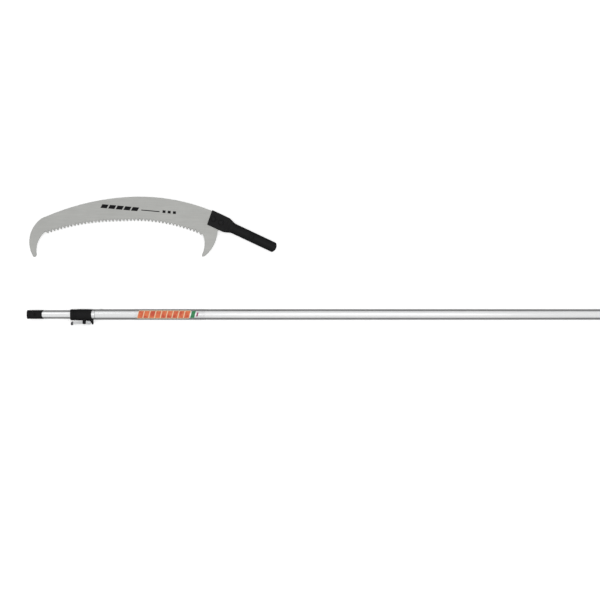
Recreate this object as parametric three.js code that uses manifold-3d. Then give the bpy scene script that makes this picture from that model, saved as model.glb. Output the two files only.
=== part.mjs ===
// Telescoping pole saw, millimetres, +Z up, lying on a floor at Z = 0.
// The pole lies along X with its lock collar over the origin.
// The saw head is off the pole and lies beside it, on the +Y side.
// Both are drawn about their own axis at z = 0, in a group that lifts them to AXIS_Z.
import * as THREE from 'three';
import { mergeVertices } from 'three/addons/utils/BufferGeometryUtils.js';
import Module from 'manifold-3d';

const wasm = await Module();
wasm.setup();

// ---- Driving dimensions ----
const AXIS_Z = 12.7;              // height of the pole's axis and of the socket's axis
const GAP = 0.3;                  // clearance between neighbouring pieces
const ROUND = 40;                 // sides of a tube
const SMALL_ROUND = 20;           // sides of a bolt or a pin

const INNER_TUBE_R = 10.1;
const INNER_TUBE_WALL = 1.2;
const INNER_TUBE_TAIL = 1400;     // X of the inner tube's rear end, pushed right in

const OUTER_TUBE_R = 12.5;
const OUTER_TUBE_WALL = 1.3;
const OUTER_TUBE_NOSE = 32.7;
const OUTER_TUBE_TAIL = 1520;

const ADAPTER_R = 10.6;
const ADAPTER_TIP = -130.8;
const ADAPTER_SHOULDER = -94.8;
const ADAPTER_PIN_X = -76;

const COLLAR_R = 13.7;
const COLLAR_SHIFT_Y = -0.75;     // the collar is thicker on its lever side
const COLLAR_NOSE = -26.4;
const COLLAR_TAIL = 28.4;
const COLLAR_HOLLOW = 23.8;       // deepest point of the collar's scooped rear edge
const COLLAR_SPIGOT_END = 62;
const COLLAR_RIVET_X = 48;
const SCOOP_R = 28.8;

const LEVER_X = 18.2;             // the clamp lever's pivot
const LEVER_Y = -19.7;
const LEVER_HUB_R = 4.6;
const LEVER_HALF_HEIGHT = 6;
const PIN_R = 1.75;
const SHOE_X = 7.2;
const SHOE_HALF_LENGTH = 2.8;
const SHOE_HALF_HEIGHT = 4.6;

const LABEL_FROM = 128.4;
const LABEL_TO = 296.4;

const HEAD_X = 316.8;             // the front blade bolt
const HEAD_Y = 229;
const HEAD_TURN_DEG = -25.2;
const BLADE_THICK = 1.6;
const TOOTH_COUNT = 45;
const TOOTH_DEPTH = 5.2;          // out from the line that the teeth stand on
const GULLET = 1.2;               // how far the gaps cut in behind that line
const SOCKET_R = 12.35;
const SOCKET_WALL = 1.4;
const SOCKET_FLAT = 1.5;          // half thickness where the tube is pressed flat
const SWELL_FROM = 32;            // the pressed flat ends and the tube starts to swell
const SWELL_TO = 55;
const SOCKET_HEEL = -10.2;
const SOCKET_MOUTH = 165.6;
const SOCKET_BULGE = 5;
const BOLT_R = 3;
const BOLT_HOLE_R = 3.3;
const BOLT_FLATS = 10;
const WASHER_THICK = 1.2;
const REAR_BOLT_X = 20;
const LOCK_SCREW_X = 101;

// ---- Solids ----
function solidOf(geometry) {
  geometry.deleteAttribute('normal');
  geometry.deleteAttribute('uv');
  const merged = mergeVertices(geometry, 1e-4);
  const corners = merged.index.array;
  const faces = [];
  for (let i = 0; i < corners.length; i += 3) {
    const [a, b, c] = corners.slice(i, i + 3);
    if (a !== b && b !== c && c !== a) faces.push(a, b, c);
  }
  return new wasm.Manifold(new wasm.Mesh({
    numProp: 3,
    vertProperties: Float32Array.from(merged.getAttribute('position').array),
    triVerts: Uint32Array.from(faces),
  }));
}

function vectors(points) {
  const list = points.map(([x, y]) => new THREE.Vector2(x, y));
  return THREE.ShapeUtils.isClockWise(list) ? list.reverse() : list;
}

// A closed profile of [x, radius] points turned about a line along X, shiftY off the X axis.
function turned(profile, shiftY = 0) {
  const outline = vectors(profile.map(([x, r]) => [r, x]));
  const onAxis = outline.findIndex((p, i) => p.x === 0 && outline.at(i - 1).x === 0);
  const loop = onAxis < 0
    ? [...outline, outline[0]]
    : [...outline.slice(onAxis), ...outline.slice(0, onAxis)];
  const geometry = new THREE.LatheGeometry(loop, ROUND).rotateZ(-Math.PI / 2);
  return solidOf(geometry.translate(0, shiftY, 0));
}

function tube(outer, inner, from, to) {
  return turned([[from, inner], [from, outer], [to, outer], [to, inner]]);
}

// A plate with the outline given as [x, y] points, between two heights.
function plate(outline, low, high) {
  const shape = new THREE.Shape(vectors(outline));
  const geometry = new THREE.ExtrudeGeometry(shape, { depth: high - low, bevelEnabled: false });
  return solidOf(geometry.translate(0, 0, low));
}

// A round or many-sided post along Z; top is its radius at the upper end.
function post(radius, x, y, low, high, { top = radius, sides = SMALL_ROUND } = {}) {
  const geometry = new THREE.CylinderGeometry(top, radius, high - low, sides);
  return solidOf(geometry.rotateX(Math.PI / 2).translate(x, y, (low + high) / 2));
}

function hexagon(x, acrossFlats, low, high) {
  return post(acrossFlats / Math.sqrt(3), x, 0, low, high, { sides: 6 });
}

function block(low, high) {
  const [w, d, h] = high.map((v, i) => v - low[i]);
  const middle = high.map((v, i) => (v + low[i]) / 2);
  return solidOf(new THREE.BoxGeometry(w, d, h).translate(...middle));
}

// Points from a to c on the circle through a, b and c.
function arc(a, b, c, steps) {
  const [ax, ay] = [a[0] - b[0], a[1] - b[1]];
  const [cx, cy] = [c[0] - b[0], c[1] - b[1]];
  const twice = 2 * (ax * cy - ay * cx);
  const aa = ax * ax + ay * ay;
  const cc = cx * cx + cy * cy;
  const mid = [b[0] + (cy * aa - ay * cc) / twice, b[1] + (ax * cc - cx * aa) / twice];
  const radius = Math.hypot(a[0] - mid[0], a[1] - mid[1]);
  const full = 2 * Math.PI;
  const angleOf = (p) => Math.atan2(p[1] - mid[1], p[0] - mid[0]);
  const start = angleOf(a);
  const turn = (p) => (angleOf(p) - start + 2 * full) % full;
  const sweep = turn(b) < turn(c) ? turn(c) : turn(c) - full;
  return Array.from({ length: steps + 1 }, (_, i) => {
    const t = start + (sweep * i) / steps;
    return [mid[0] + radius * Math.cos(t), mid[1] + radius * Math.sin(t)];
  });
}

// Joins rings of equal point count into a closed skin with flat ends.
function loft(rings) {
  const count = rings[0].length;
  const centreOf = (ring) => [0, 1, 2].map((k) =>
    ring.reduce((sum, p) => sum + p[k], 0) / count);
  const last = (rings.length - 1) * count;
  const faces = [];
  for (let i = 0; i < count; i += 1) {
    const next = (i + 1) % count;
    for (let r = 0; r < last; r += count) {
      faces.push(r + i, r + next, r + count + next);
      faces.push(r + i, r + count + next, r + count + i);
    }
    faces.push(last + count, next, i);
    faces.push(last + count + 1, last + i, last + next);
  }
  const points = [...rings.flat(), centreOf(rings[0]), centreOf(rings.at(-1))];
  const geometry = new THREE.BufferGeometry();
  geometry.setAttribute('position', new THREE.Float32BufferAttribute(points.flat(), 3));
  geometry.setIndex(faces);
  return solidOf(geometry);
}

// ---- Pole ----
const OUTER_BORE = OUTER_TUBE_R - OUTER_TUBE_WALL;
const INNER_BORE = INNER_TUBE_R - INNER_TUBE_WALL;

// Hole for the rivet on the collar's far side, radial along +Y.
function collarRivetHole() {
  const geometry = new THREE.CylinderGeometry(1.8, 1.8, 20, SMALL_ROUND);
  return solidOf(geometry.translate(COLLAR_RIVET_X, 15, 0));
}

function outerTube() {
  return tube(OUTER_TUBE_R, OUTER_BORE, OUTER_TUBE_NOSE, OUTER_TUBE_TAIL)
    .subtract(collarRivetHole());
}

function buttPlug() {
  const spigot = OUTER_BORE - GAP;
  const face = OUTER_TUBE_TAIL + GAP;
  const rim = OUTER_TUBE_R + 0.1;
  return turned([
    [face - 30, 0], [face - 30, spigot], [face, spigot], [face, rim], [face + 5, rim],
    [face + 7.6, rim - 1.2], [face + 8.5, rim - 3.4], [face + 8.5, 0],
  ]);
}

function labelBand() {
  return tube(OUTER_TUBE_R + 0.15, OUTER_TUBE_R + 0.05, LABEL_FROM, LABEL_TO);
}

function innerTube() {
  return tube(INNER_TUBE_R, INNER_BORE, ADAPTER_SHOULDER + GAP, INNER_TUBE_TAIL)
    .subtract(post(1.8, ADAPTER_PIN_X, 0, -20, 0));
}

// The tip that the saw's socket slides over. Its thin rear lip is scooped in plan.
function tipAdapter() {
  const [tip, shoulder] = [ADAPTER_TIP, ADAPTER_SHOULDER];
  const spigot = INNER_BORE - GAP;
  const lip = INNER_TUBE_R + 0.1;
  const body = turned([
    [tip, 0], [tip, ADAPTER_R - 1.8], [tip + 0.6, ADAPTER_R - 0.6], [tip + 1.8, ADAPTER_R],
    [tip + 6, ADAPTER_R], [tip + 6.6, ADAPTER_R - 0.6], [tip + 7.6, ADAPTER_R],
    [shoulder + 4.4, ADAPTER_R], [shoulder + 4.4, lip], [shoulder, lip],
    [shoulder, spigot], [shoulder + 40, spigot], [shoulder + 40, 0],
  ]);
  const scoop = post(16, shoulder + 16, 0, -20, 20, { sides: ROUND })
    .subtract(turned([[shoulder - 5, 0], [shoulder - 5, lip - 0.05],
      [shoulder + 50, lip - 0.05], [shoulder + 50, 0]]));
  const screwSeat = post(3.4, tip + 19.2, 0, 6, 20);
  const pinHole = post(1.8, ADAPTER_PIN_X, 0, -20, 0);
  return body.subtract(scoop).subtract(screwSeat).subtract(pinHole);
}

function adapterPin() {
  return post(1.5, ADAPTER_PIN_X, 0, -INNER_TUBE_R, -0.5);
}

function guideBush() {
  const spigot = INNER_BORE - GAP;
  const flange = OUTER_BORE - GAP;
  const face = INNER_TUBE_TAIL + GAP;
  const bore = spigot - 2;
  return turned([
    [face - 28, bore], [face - 28, spigot], [face, spigot], [face, flange - 0.5],
    [face + 1, flange], [face + 17, flange], [face + 18, flange - 1], [face + 18, bore],
  ]);
}

// ---- Lock collar and its clamp ----
function lugOutline() {
  const r = 4.3;
  return [
    ...arc([LEVER_X + r, LEVER_Y], [LEVER_X, LEVER_Y - r], [LEVER_X - r, LEVER_Y], 12),
    [LEVER_X - r, -9], [LEVER_X + r, -9],
  ];
}

function lockCollar() {
  const [nose, tail, r] = [COLLAR_NOSE, COLLAR_TAIL, COLLAR_R];
  const groove = (x) => [[x, r - 0.2], [x + 0.4, r - 1], [x + 1.6, r - 1], [x + 2, r - 0.2]];
  const shell = turned([
    [nose, 0], [nose, r - 1.7], [nose + 0.7, r - 0.8], [nose + 2, r - 0.4],
    ...groove(nose + 7), ...groove(nose + 12), [0, r], [14, r], [tail, r - 0.3], [tail, 0],
  ], COLLAR_SHIFT_Y);
  const ear = [...arc([3.4, -21.4], [SHOE_X, -23.6], [11, -21.4], 8), [11.6, -6], [2.8, -6]];
  const guard = [[20, -9], [22, -14.6], [24.4, -20.5], [25.6, -23.7], [27.2, -24.2],
    [28.4, -23.2], [28.6, -17], [28.2, -9]];
  const scoop = post(SCOOP_R, COLLAR_HOLLOW + SCOOP_R, 0, -20, 20, { sides: 72 });
  const belowFoot = block([-60, -40, -30], [60, 40, -AXIS_Z]);
  const tubeRoom = turned([[COLLAR_HOLLOW, 0], [COLLAR_HOLLOW, OUTER_TUBE_R + GAP],
    [tail + 5, OUTER_TUBE_R + GAP], [tail + 5, 0]]);
  const spigot = turned([[0, 0], [0, OUTER_BORE - 0.25],
    [COLLAR_SPIGOT_END, OUTER_BORE - 0.25], [COLLAR_SPIGOT_END, 0]]);
  const bore = INNER_TUBE_R + 0.35;
  const core = turned([[nose - 1, 0], [nose - 1, 12.2], [nose + 3.4, 12.2], [nose + 3.4, bore],
    [COLLAR_SPIGOT_END + 1, bore], [COLLAR_SPIGOT_END + 1, 0]]);
  const [windowX, windowZ] = [SHOE_HALF_LENGTH + 0.4, SHOE_HALF_HEIGHT + 0.4];
  return shell.subtract(scoop).subtract(belowFoot).add(spigot)
    .add(plate(lugOutline(), -3.1, 3.1))
    .subtract(post(PIN_R + GAP, LEVER_X, LEVER_Y, -20, 20))
    .add(plate(ear, 6.4, 8.9))
    .add(plate(ear, -8.9, -6.4))
    .add(plate(guard, -6.5, 6.5).subtract(tubeRoom))
    .subtract(core)
    .subtract(block([SHOE_X - windowX, -20, -windowZ], [SHOE_X + windowX, 0, windowZ]))
    .subtract(collarRivetHole());
}

// A bright ring between the collar's scooped edge and the outer tube.
function collarRing() {
  return tube(OUTER_TUBE_R, OUTER_BORE, 20, OUTER_TUBE_NOSE - 0.5)
    .intersect(post(SCOOP_R - GAP, COLLAR_HOLLOW + SCOOP_R, 0, -20, 20, { sides: 72 }));
}

function wiperRing() {
  return tube(11.9, INNER_TUBE_R + 0.25, COLLAR_NOSE - 0.3, COLLAR_NOSE + 3.1);
}

function collarRivet() {
  const [foot, seat] = [INNER_TUBE_R + 0.45, OUTER_TUBE_R + GAP];
  const shank = new THREE.CylinderGeometry(1.5, 1.5, seat - foot, SMALL_ROUND);
  const head = new THREE.CylinderGeometry(2, 3, 0.7, SMALL_ROUND);
  return solidOf(shank.translate(COLLAR_RIVET_X, (foot + seat) / 2, 0))
    .add(solidOf(head.translate(COLLAR_RIVET_X, seat + 0.35, 0)));
}

function leverPin() {
  const reach = LEVER_HALF_HEIGHT + GAP;
  return post(PIN_R, LEVER_X, LEVER_Y, -reach - 1, reach + 0.5)
    .add(post(3.1, LEVER_X, LEVER_Y, reach, reach + 1.2, { top: 2.3 }))
    .add(post(2.3, LEVER_X, LEVER_Y, -reach - 1, -reach, { top: 3.1 }));
}

function clampLever() {
  const [x, y, r, high] = [LEVER_X, LEVER_Y, LEVER_HUB_R, LEVER_HALF_HEIGHT];
  const outline = [
    ...arc([x + 0.6, y + r], [x + r, y], [x - 1, y - r], 16),
    ...arc([10, -23.7], [-6, -23], [-20, -24.4], 8),
    ...arc([-20, -17.2], [-8, -16.5], [4.6, -16.4], 6),
    ...arc([5.6, -16], [SHOE_X, -15.6], [8.8, -16], 4),
    [10.4, -16.4],
    [14.4, -16.2],
  ];
  const pocket = [
    ...arc([9.4, -21.6], [-6, -21], [-17.2, -22.2], 6), [-17.2, -18.6], [9.4, -18.6],
  ];
  const forkSlot = block([x - 5.9, y - 9, -3.5], [x + 9, y + 9, 3.5]);
  return plate(outline, -high, high)
    .subtract(forkSlot)
    .subtract(post(PIN_R + GAP, x, y, -20, 20))
    .subtract(plate(pocket, high - 2.4, high + 1))
    .subtract(plate(pocket, -high - 1, 2.4 - high))
    .add(block([-22.6, -22.6, -3], [-19, -18.4, 3]));
}

// Dark thumb tab at the lever's free end, curled away from the tube.
function leverTip() {
  const outline = [
    ...arc([-20.3, -16.8], [-23.6, -17.6], [-25.2, -20.6], 6),
    ...arc([-25.5, -24], [-23.8, -26], [-20.3, -25], 6),
  ];
  return plate(outline, -6.4, 6.4).subtract(block([-22.9, -22.9, -3.3], [-10, -18.1, 3.3]));
}

function shoeBlock(outer) {
  const [half, tall] = [SHOE_HALF_LENGTH, SHOE_HALF_HEIGHT];
  return block([SHOE_X - half, outer, -tall], [SHOE_X + half, -5, tall]);
}

function shoeZone(outer, inner) {
  return tube(outer, inner, SHOE_X - 10, SHOE_X + 10);
}

function brakeShoe() {
  return shoeBlock(-15.2).intersect(shoeZone(30, 11.9));
}

function shoeLining() {
  return shoeBlock(-14).intersect(shoeZone(11.7, INNER_TUBE_R + GAP));
}

// ---- Saw head, drawn along X from the front bolt at the origin ----
function bladeTeeth() {
  const front = Math.floor(TOOTH_COUNT / 2);
  const roots = [
    ...arc([-352, -200.5], [-279, -140.2], [-200, -95.3], front),
    ...arc([-200, -95.3], [-99, -54.6], [-11, -42], TOOTH_COUNT - front).slice(1),
  ];
  return roots.slice(0, -1).flatMap((root, i) => {
    const step = [roots[i + 1][0] - root[0], roots[i + 1][1] - root[1]];
    const pitch = Math.hypot(...step);
    const at = (along, depth) => [
      root[0] + step[0] * along + (step[1] / pitch) * depth,
      root[1] + step[1] * along - (step[0] / pitch) * depth,
    ];
    return [at(0.1, -GULLET), at(0.68, TOOTH_DEPTH), at(0.8, TOOTH_DEPTH * 0.95)];
  });
}

function sawBlade() {
  const outline = [
    // spine, from the heel to the nose
    ...arc([14, 16.6], [-95, 4], [-195, -32.7], 20),
    ...arc([-195, -32.7], [-283, -88.1], [-366, -165.3], 16).slice(1),
    // nose and tip hook, outer edge, point and inner edge
    ...arc([-366, -165.3], [-374.6, -175], [-380.2, -188], 4).slice(1),
    ...arc([-380.2, -188], [-383.3, -212], [-357.4, -262.5], 12).slice(1),
    [-354, -265.6],
    [-349.2, -265],
    [-347.2, -261.6],
    ...arc([-347.8, -257.6], [-358.3, -222], [-353.4, -201.5], 12),
    ...bladeTeeth(),
    // heel spur, inner edge, point and outer edge
    ...arc([-8, -44], [7.4, -66], [11.2, -89], 10),
    [12.6, -92.2],
    [15.8, -92.4],
    ...arc([18.8, -89.8], [26.4, -64], [20.6, -22], 12),
    // heel under the socket's flat
    ...arc([26, -15.5], [30, 0], [26, 13.5], 6),
  ];
  const top = -SOCKET_FLAT - GAP;
  return plate(outline, top - BLADE_THICK, top)
    .subtract(post(BOLT_HOLE_R, 0, 0, -20, 20))
    .subtract(post(BOLT_HOLE_R, REAR_BOLT_X, 0, -20, 20));
}

// Half thickness of the socket tube: flat at the blade, round towards the mouth.
function socketHalfThickness(x) {
  const t = THREE.MathUtils.smoothstep(x, SWELL_FROM, SWELL_TO);
  return THREE.MathUtils.lerp(SOCKET_FLAT, SOCKET_R, t);
}

// Cross-section of the socket tube, inset all round. Its girth stays that of the round tube.
function socketRing(x, inset) {
  const half = socketHalfThickness(x);
  const straight = (Math.PI / 2) * (SOCKET_R - half);
  const round = half - inset;
  const sides = 32;
  return Array.from({ length: sides }, (_, i) => {
    const t = ((i + 0.5) * 2 * Math.PI) / sides;
    const y = Math.sign(Math.cos(t)) * straight + round * Math.cos(t);
    const bulge = x > 150 ? SOCKET_BULGE * (y / SOCKET_R) ** 2 : 0;
    const slant = x < 0 ? 0.1 * y : 0;
    return [x - bulge - slant, y, round * Math.sin(t)];
  });
}

function bladeSocket() {
  const mouth = SOCKET_MOUTH;
  const swell = [36, 40, 44, 48, 51, SWELL_TO];
  const outside = [
    ...[SOCKET_HEEL, SWELL_FROM, ...swell, 146, mouth - 1.6].map((x) => socketRing(x, 0)),
    socketRing(mouth - 0.5, 0.3),
    socketRing(mouth, 0.8),
  ];
  const inside = [
    ...[...swell.slice(1), 146, mouth - 0.6].map((x) => socketRing(x, SOCKET_WALL)),
    socketRing(mouth + 4, SOCKET_WALL - 0.6),
  ];
  return loft(outside).subtract(loft(inside))
    .subtract(post(BOLT_HOLE_R, 0, 0, -20, 20))
    .subtract(post(BOLT_HOLE_R, REAR_BOLT_X, 0, -20, 20))
    .subtract(post(BOLT_HOLE_R, LOCK_SCREW_X, 0, 0, 20));
}

// Hexagon head above the socket's flat, shank down through the blade and the nut.
function bladeBolt(x) {
  const seat = SOCKET_FLAT + WASHER_THICK + 2 * GAP;
  return hexagon(x, BOLT_FLATS, seat, seat + 4)
    .intersect(post(6.6, x, 0, seat - 1, seat + 4, { top: 4.8 }))
    .add(post(BOLT_R, x, 0, 0.9 - AXIS_Z, seat + 1));
}

function bladeWasher(x) {
  const seat = SOCKET_FLAT + GAP;
  return post(6.3, x, 0, seat, seat + WASHER_THICK).subtract(post(BOLT_HOLE_R, x, 0, -20, 20));
}

function bladeNut(x) {
  const seat = -SOCKET_FLAT - BLADE_THICK - 2 * GAP;
  return hexagon(x, BOLT_FLATS, seat - 5, seat)
    .add(post(6.1, x, 0, seat - 1.1, seat))
    .subtract(post(BOLT_HOLE_R, x, 0, -20, 20));
}

function lockNut() {
  const [x, r] = [LOCK_SCREW_X, SOCKET_R + GAP];
  const tubeRoom = turned([[x - 20, 0], [x - 20, r], [x + 20, r], [x + 20, 0]]);
  return hexagon(x, BOLT_FLATS, 9, SOCKET_R + 3.6)
    .subtract(tubeRoom)
    .subtract(post(BOLT_HOLE_R, x, 0, -20, 30));
}

// Button-head screw whose tip stops inside the socket's wall.
function lockScrew() {
  const x = LOCK_SCREW_X;
  const seat = SOCKET_R + 3.9;
  return post(BOLT_R, x, 0, SOCKET_R - SOCKET_WALL + 0.4, seat + 1)
    .add(post(5, x, 0, seat, seat + 1.6))
    .add(post(5, x, 0, seat + 1.6, seat + 3, { top: 3.2 }))
    .subtract(hexagon(x, 4, seat + 0.8, seat + 5));
}

// ---- Model ----
const FINISHES = {
  aluminium: { color: 0xd9dadb, metalness: 0.9, roughness: 0.3 },
  steel: { color: 0xb4b5b1, metalness: 0.85, roughness: 0.38 },
  zinc: { color: 0xc9cccf, metalness: 0.9, roughness: 0.28 },
  blackSteel: { color: 0x161616, metalness: 0.4, roughness: 0.5 },
  blackPlastic: { color: 0x141414, metalness: 0, roughness: 0.55 },
  greyPlastic: { color: 0x4a4c4e, metalness: 0, roughness: 0.6 },
  rubber: { color: 0x1c1c1c, metalness: 0, roughness: 0.85 },
  label: { color: 0xd9532c, metalness: 0, roughness: 0.4 },
};

function piece(name, finish, solid) {
  const { vertProperties, triVerts } = solid.getMesh();
  const geometry = new THREE.BufferGeometry();
  geometry.setAttribute('position', new THREE.BufferAttribute(vertProperties, 3));
  geometry.setIndex(new THREE.BufferAttribute(triVerts, 1));
  geometry.computeVertexNormals();
  const mesh = new THREE.Mesh(geometry, new THREE.MeshStandardMaterial(FINISHES[finish]));
  mesh.name = name;
  return mesh;
}

const pole = new THREE.Group();
pole.position.set(0, 0, AXIS_Z);
pole.add(
  piece('outer_tube', 'aluminium', outerTube()),
  piece('butt_plug', 'blackPlastic', buttPlug()),
  piece('label_band', 'label', labelBand()),
  piece('lock_collar', 'blackPlastic', lockCollar()),
  piece('collar_ring', 'aluminium', collarRing()),
  piece('wiper_ring', 'rubber', wiperRing()),
  piece('collar_rivet', 'zinc', collarRivet()),
  piece('lever_pin', 'zinc', leverPin()),
  piece('clamp_lever', 'zinc', clampLever()),
  piece('lever_tip', 'greyPlastic', leverTip()),
  piece('brake_shoe', 'blackPlastic', brakeShoe()),
  piece('shoe_lining', 'rubber', shoeLining()),
  piece('inner_tube', 'aluminium', innerTube()),
  piece('tip_adapter', 'blackPlastic', tipAdapter()),
  piece('adapter_pin', 'zinc', adapterPin()),
  piece('guide_bush', 'blackPlastic', guideBush()),
);

const head = new THREE.Group();
head.position.set(HEAD_X, HEAD_Y, AXIS_Z);
head.rotation.z = THREE.MathUtils.degToRad(HEAD_TURN_DEG);
head.add(
  piece('saw_blade', 'steel', sawBlade()),
  piece('blade_socket', 'blackSteel', bladeSocket()),
  piece('lock_nut', 'blackSteel', lockNut()),
  piece('lock_screw', 'blackSteel', lockScrew()),
);
for (const [end, x] of [['front', 0], ['rear', REAR_BOLT_X]]) {
  head.add(
    piece(`${end}_bolt`, 'blackSteel', bladeBolt(x)),
    piece(`${end}_washer`, 'blackSteel', bladeWasher(x)),
    piece(`${end}_nut`, 'blackSteel', bladeNut(x)),
  );
}

const poleSaw = new THREE.Group();
poleSaw.name = 'pole_saw';
poleSaw.add(pole, head);

export default poleSaw;
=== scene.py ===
import math

import bmesh
import bpy
from mathutils import Matrix, Vector


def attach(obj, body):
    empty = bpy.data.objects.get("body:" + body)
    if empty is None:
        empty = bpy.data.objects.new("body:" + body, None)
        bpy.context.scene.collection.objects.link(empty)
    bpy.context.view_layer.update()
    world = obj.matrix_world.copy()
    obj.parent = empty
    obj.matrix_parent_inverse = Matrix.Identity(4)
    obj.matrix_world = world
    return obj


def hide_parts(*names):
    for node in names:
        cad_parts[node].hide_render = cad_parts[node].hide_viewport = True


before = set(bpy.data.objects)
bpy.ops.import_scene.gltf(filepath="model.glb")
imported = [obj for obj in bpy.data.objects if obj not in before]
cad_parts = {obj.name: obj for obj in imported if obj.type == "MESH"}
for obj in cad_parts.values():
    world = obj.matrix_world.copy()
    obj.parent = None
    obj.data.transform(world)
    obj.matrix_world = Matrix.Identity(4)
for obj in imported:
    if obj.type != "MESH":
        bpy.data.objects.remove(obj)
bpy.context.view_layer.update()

# ---- Dimensions, in millimetres, as the frame has them ----
MM = 0.001
AXIS_Z = 12.7
GAP = 0.3
ROUND = 96
SMALL_ROUND = 40
SCOOP_ROUND = 160               # sides of the cutter for the collar's scooped edge

OUTER_R, OUTER_BORE = 12.5, 11.2
OUTER_NOSE, OUTER_TAIL = 32.7, 1520
INNER_R, INNER_BORE = 10.1, 8.9
INNER_TAIL = 1400
TIP_X, SHOULDER_X = -130.8, -94.8
ADAPTER_R = 10.6
ADAPTER_PIN_X = -76
SCREW_SEAT_X = TIP_X + 19.2      # where the lock screw presses on the adapter
SCREW_SEAT_R = 3.4
SMALL_HOLE_R = 1.8               # holes for the adapter's pin and the collar's rivet
COLLAR_R, COLLAR_SHIFT_Y = 13.7, -0.75
COLLAR_NOSE, COLLAR_TAIL = -26.4, 28.4
COLLAR_HOLLOW, SCOOP_R = 23.8, 28.8
COLLAR_SPIGOT_END = 62
COLLAR_CLEARANCE = 0.35          # round the inner tube
LUG_R = 4.3
SHOE_WINDOW = (3.2, 5)           # half length and half height
RIVET_X = 48
LEVER_X, LEVER_Y = 18.2, -19.7
PIN_R = 1.75
LEVER_HUB_R, LEVER_HALF_HEIGHT = 4.6, 6
SHOE_X = 7.2
LABEL_FROM, LABEL_TO = 128.4, 296.4

HEAD_X, HEAD_Y, HEAD_TURN = 316.8, 229.0, math.radians(-25.2)
TOOTH_COUNT, TOOTH_DEPTH, GULLET = 45, 5.2, 1.2
BLADE_TOP, BLADE_BOTTOM = -1.8, -3.4
SOCKET_R, SOCKET_WALL, SOCKET_FLAT = 12.35, 1.4, 1.5
SOCKET_HEEL, SOCKET_MOUTH, SOCKET_BULGE = -10.2, 165.6, 5
SWELL_FROM, SWELL_TO = 32, 55
REAR_BOLT_X, LOCK_SCREW_X = 20, 101
HOLE_R = 3.3
BOLT_FLATS, WASHER_THICK = 10, 1.2
BOLT_END_Z = 0.9                 # height of the bolts' lower ends over the ground

TO_METRES = Matrix.Scale(MM, 4)
POLE = TO_METRES @ Matrix.Translation((0, 0, AXIS_Z))
HEAD = (
    TO_METRES
    @ Matrix.Translation((HEAD_X, HEAD_Y, AXIS_Z))
    @ Matrix.Rotation(HEAD_TURN, 4, "Z")
)


# ---- Mesh helpers. Meshes are made in millimetres about the pole's or the head's axis ----
def new_object(bm):
    bmesh.ops.recalc_face_normals(bm, faces=bm.faces)
    mesh = bpy.data.meshes.new("work")
    bm.to_mesh(mesh)
    bm.free()
    obj = bpy.data.objects.new("work", mesh)
    bpy.context.scene.collection.objects.link(obj)
    return obj


def turned(profile, sides=ROUND, shift_y=0.0, closed=True):
    """A profile of (x, radius) points turned about a line along X."""
    bm = bmesh.new()
    rings = []
    for x, r in profile:
        if r < 1e-6:
            rings.append([bm.verts.new((x, shift_y, 0))])
            continue
        ring = []
        for i in range(sides):
            t = 2 * math.pi * (i + 0.5) / sides
            ring.append(bm.verts.new((x, shift_y + r * math.cos(t), r * math.sin(t))))
        rings.append(ring)
    pairs = list(zip(rings, rings[1:]))
    if closed:
        pairs.append((rings[-1], rings[0]))
    for a, b in pairs:
        for i in range(sides):
            j = (i + 1) % sides
            corners = [a[i % len(a)], a[j % len(a)], b[j % len(b)], b[i % len(b)]]
            corners = list(dict.fromkeys(corners))
            if len(corners) > 2:
                bm.faces.new(corners)
    return new_object(bm)


def slab(rings):
    """Joins outlines of equal length, each a list of (x, y, z), from the bottom one up."""
    bm = bmesh.new()
    loops = [[bm.verts.new(p) for p in ring] for ring in rings]
    bm.faces.new(loops[0])
    bm.faces.new(loops[-1])
    count = len(loops[0])
    for low, high in zip(loops, loops[1:]):
        for i in range(count):
            j = (i + 1) % count
            bm.faces.new((low[i], low[j], high[j], high[i]))
    return new_object(bm)


def plate(outline, low, high):
    return slab([[(x, y, z) for x, y in outline] for z in (low, high)])


def circle(radius, x=0.0, y=0.0, sides=SMALL_ROUND):
    angles = [2 * math.pi * (i + 0.5) / sides for i in range(sides)]
    return [(x + radius * math.cos(t), y + radius * math.sin(t)) for t in angles]


def post(radius, x, y, low, high, sides=SMALL_ROUND):
    return plate(circle(radius, x, y, sides), low, high)


def stack(x, y, levels, sides=SMALL_ROUND):
    """A round or many-sided post along Z through (height, radius) levels."""
    rings = [[(px, py, z) for px, py in circle(r, x, y, sides)] for z, r in levels]
    return slab(rings)


def block(low, high):
    outline = [(low[0], low[1]), (high[0], low[1]), (high[0], high[1]), (low[0], high[1])]
    return plate(outline, low[2], high[2])


def arc(a, b, c, steps):
    """Points from a to c on the circle through a, b and c."""
    ax, ay = a[0] - b[0], a[1] - b[1]
    cx, cy = c[0] - b[0], c[1] - b[1]
    twice = 2 * (ax * cy - ay * cx)
    aa, cc = ax * ax + ay * ay, cx * cx + cy * cy
    mx = b[0] + (cy * aa - ay * cc) / twice
    my = b[1] + (ax * cc - cx * aa) / twice
    radius = math.hypot(a[0] - mx, a[1] - my)
    start = math.atan2(a[1] - my, a[0] - mx)

    def turn(p):
        return (math.atan2(p[1] - my, p[0] - mx) - start) % (2 * math.pi)

    sweep = turn(c) if turn(b) < turn(c) else turn(c) - 2 * math.pi
    angles = [start + sweep * i / steps for i in range(steps + 1)]
    return [(mx + radius * math.cos(t), my + radius * math.sin(t)) for t in angles]


def inset(outline, amount):
    """The outline moved inwards by an amount, whichever way round it runs."""
    area = sum(
        p[0] * q[1] - q[0] * p[1] for p, q in zip(outline, outline[1:] + outline[:1])
    )
    side = 1 if area > 0 else -1
    moved = []
    for i, p in enumerate(outline):
        before = Vector(outline[i - 1])
        after = Vector(outline[(i + 1) % len(outline)])
        here = Vector(p)
        along = (here - before).normalized() + (after - here).normalized()
        inward = Vector((-along.y, along.x)).normalized() * side
        moved.append(tuple(here + inward * amount))
    return moved


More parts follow.
